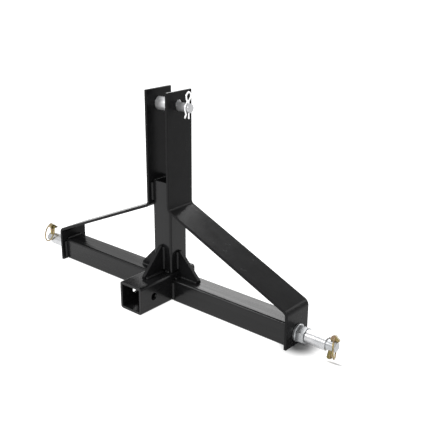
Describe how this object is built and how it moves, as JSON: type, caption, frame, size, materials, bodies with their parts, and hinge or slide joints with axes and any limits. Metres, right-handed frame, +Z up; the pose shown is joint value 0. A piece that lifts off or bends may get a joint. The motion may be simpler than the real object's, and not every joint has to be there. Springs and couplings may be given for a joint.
{
  "type": "three-point receiver hitch",
  "caption": "Welded three-point hitch frame with a square receiver tube, a forked mast for a top link, and sleeved side pins held by ring lynch pins.",
  "frame": {"origin": "on the ground below the middle of the receiver tube, midway between the two end plates", "axes": "+X to the right seen from the receiver's mouth, along the crossbar; -Y out of the receiver's mouth; +Z up along the mast"},
  "size_m": [0.8956, 0.172, 0.472],
  "materials": {
    "powder_coat": "semi-gloss black powder coat",
    "coated_weld": "rippled weld beads under black powder coat",
    "zinc_plate": "bright zinc plated, turned",
    "sleeve_zinc": "zinc plated drawn tube",
    "bright_wire": "bright zinc plated spring wire",
    "yellow_zinc": "yellow passivated zinc, slightly iridescent"
  },
  "bodies": {
    "frame": {"receiver_tube": "powder_coat", "crossbar_left": "powder_coat", "crossbar_right": "powder_coat", "upright_tube": "powder_coat", "brace_left": "powder_coat", "brace_right": "powder_coat", "gusset_front": "powder_coat", "gusset_left": "powder_coat", "gusset_right": "powder_coat", "lower_pin_left": "zinc_plate", "lower_pin_right": "zinc_plate", "stud_nut_left": "zinc_plate", "stud_nut_right": "zinc_plate", "weld_receiver": "coated_weld", "weld_end_left": "coated_weld", "weld_end_right": "coated_weld", "weld_post": "coated_weld", "weld_cheeks": "coated_weld", "weld_gussets": "coated_weld"},
    "lower_sleeve_left": {"lower_sleeve_left": "sleeve_zinc"},
    "lower_sleeve_right": {"lower_sleeve_right": "sleeve_zinc"},
    "top_sleeve": {"top_sleeve": "sleeve_zinc"},
    "top_pin": {"top_pin": "zinc_plate", "hairpin_clip": "bright_wire"},
    "lynch_pin_left": {"lynch_pin_left": "yellow_zinc"},
    "lynch_pin_right": {"lynch_pin_right": "yellow_zinc"},
    "lynch_ring_left": {"lynch_ring_left": "yellow_zinc"},
    "lynch_ring_right": {"lynch_ring_right": "yellow_zinc"}
  },
  "joints": [
    {"name": "sleeve_turn_left", "type": "hinge", "parent": "frame", "child": "lower_sleeve_left", "pos_m": [-0.3938, 0.04, 0.0265], "axis": [1, 0, 0], "continuous": true},
    {"name": "sleeve_turn_right", "type": "hinge", "parent": "frame", "child": "lower_sleeve_right", "pos_m": [0.3938, 0.04, 0.0265], "axis": [1, 0, 0], "continuous": true},
    {"name": "top_sleeve_turn", "type": "hinge", "parent": "frame", "child": "top_sleeve", "pos_m": [0, 0.04, 0.4378], "axis": [1, 0, 0], "continuous": true},
    {"name": "top_pin_slide", "type": "slide", "parent": "frame", "child": "top_pin", "axis": [-1, 0, 0], "range_m": [0, 0.0225]},
    {"name": "lynch_lift_right", "type": "slide", "parent": "frame", "child": "lynch_pin_right", "axis": [0, 0.4067, 0.9135], "range_m": [0, 0.07]},
    {"name": "ring_swing_right", "type": "hinge", "parent": "lynch_pin_right", "child": "lynch_ring_right", "pos_m": [0.4275, 0.04667, 0.04148], "axis": [0.342, -0.8585, 0.3822], "range_deg": [0, 150]},
    {"name": "lynch_lift_left", "type": "slide", "parent": "frame", "child": "lynch_pin_left", "axis": [0, 0, 1], "range_m": [0, 0.056]},
    {"name": "ring_swing_left", "type": "hinge", "parent": "lynch_pin_left", "child": "lynch_ring_left", "pos_m": [-0.4275, 0.04, 0.0584], "axis": [-0.9659, 0.2588, 0], "range_deg": [0, 120]}
  ],
  "couplings": [
    {"joint": "lynch_lift_right", "follows": "ring_swing_right", "m_per_rad": 0.0267}
  ]
}
